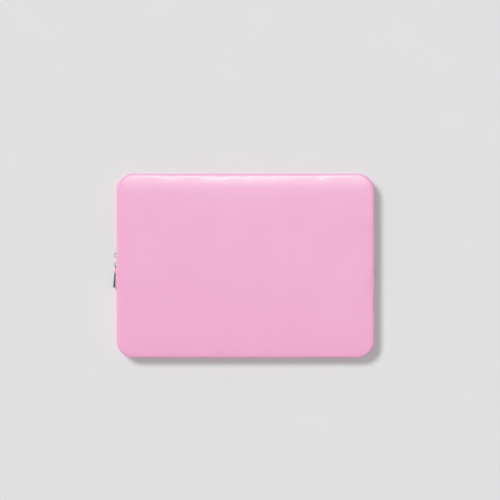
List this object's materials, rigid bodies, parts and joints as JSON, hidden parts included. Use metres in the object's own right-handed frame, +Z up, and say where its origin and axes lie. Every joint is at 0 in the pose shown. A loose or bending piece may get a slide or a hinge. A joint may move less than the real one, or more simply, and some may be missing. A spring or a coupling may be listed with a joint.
{
  "type": "laptop sleeve",
  "caption": "Flat padded zip-around laptop sleeve with rounded corners, metal zip sliders nose to nose on the left edge and slim slate pulls.",
  "frame": {"origin": "centre of the back panel's outer face, which lies on the floor", "axes": "+X to the right across the width, +Y towards the zipped top edge, +Z up out of the front panel"},
  "size_m": [0.3556, 0.25, 0.024],
  "materials": {
    "cover_fabric": "satin",
    "tab_fabric": "satin",
    "lining_fleece": "matte",
    "foam": "matte",
    "zip_tape": "matte",
    "zip_coil": "satin",
    "binding_tape": "matte",
    "slider_metal": "satin",
    "loop_metal": "satin",
    "grip_rubber": "satin"
  },
  "bodies": {
    "sleeve": {"back_cover": "cover_fabric", "back_foam": "foam", "back_lining": "lining_fleece", "front_cover": "cover_fabric", "front_foam": "foam", "front_lining": "lining_fleece", "gusset_cover": "cover_fabric", "gusset_foam": "foam", "gusset_lining": "lining_fleece", "back_zip_tape": "zip_tape", "back_zip_coil": "zip_coil", "front_zip_tape": "zip_tape", "front_zip_coil": "zip_coil", "left_end_tab": "tab_fabric", "right_end_tab": "tab_fabric", "back_binding": "binding_tape", "front_binding": "binding_tape"},
    "flap": {"flap_cover": "cover_fabric", "flap_foam": "foam", "flap_lining": "lining_fleece", "flap_zip_tape": "zip_tape", "flap_zip_coil": "zip_coil", "flap_binding": "binding_tape"},
    "lower_slider": {"lower_slider_body": "slider_metal"},
    "upper_slider": {"upper_slider_body": "slider_metal"},
    "lower_pull": {"lower_pull_loop": "loop_metal", "lower_pull_grip": "grip_rubber"},
    "upper_pull": {"upper_pull_loop": "loop_metal", "upper_pull_grip": "grip_rubber"}
  },
  "joints": [
    {"name": "flap_fold", "type": "hinge", "parent": "sleeve", "child": "flap", "pos_m": [0, 0.021, 0.024], "axis": [1, 0, 0], "range_deg": [0, 60]},
    {"name": "lower_slide", "type": "slide", "parent": "sleeve", "child": "lower_slider", "axis": [0, 1, 0], "range_m": [0, 0.04]},
    {"name": "upper_slide", "type": "slide", "parent": "lower_slider", "child": "upper_slider", "axis": [0, 1, 0], "range_m": [0, 0.042]},
    {"name": "lower_pull_swing", "type": "hinge", "parent": "lower_slider", "child": "lower_pull", "pos_m": [-0.1761, -0.0001, 0.012], "axis": [0, 0.2027, -0.9792], "range_deg": [0, 97]},
    {"name": "upper_pull_swing", "type": "hinge", "parent": "upper_slider", "child": "upper_pull", "pos_m": [-0.1743, 0.01575, 0.012], "axis": [0, 0.0515, 0.9987], "range_deg": [0, 97]}
  ]
}
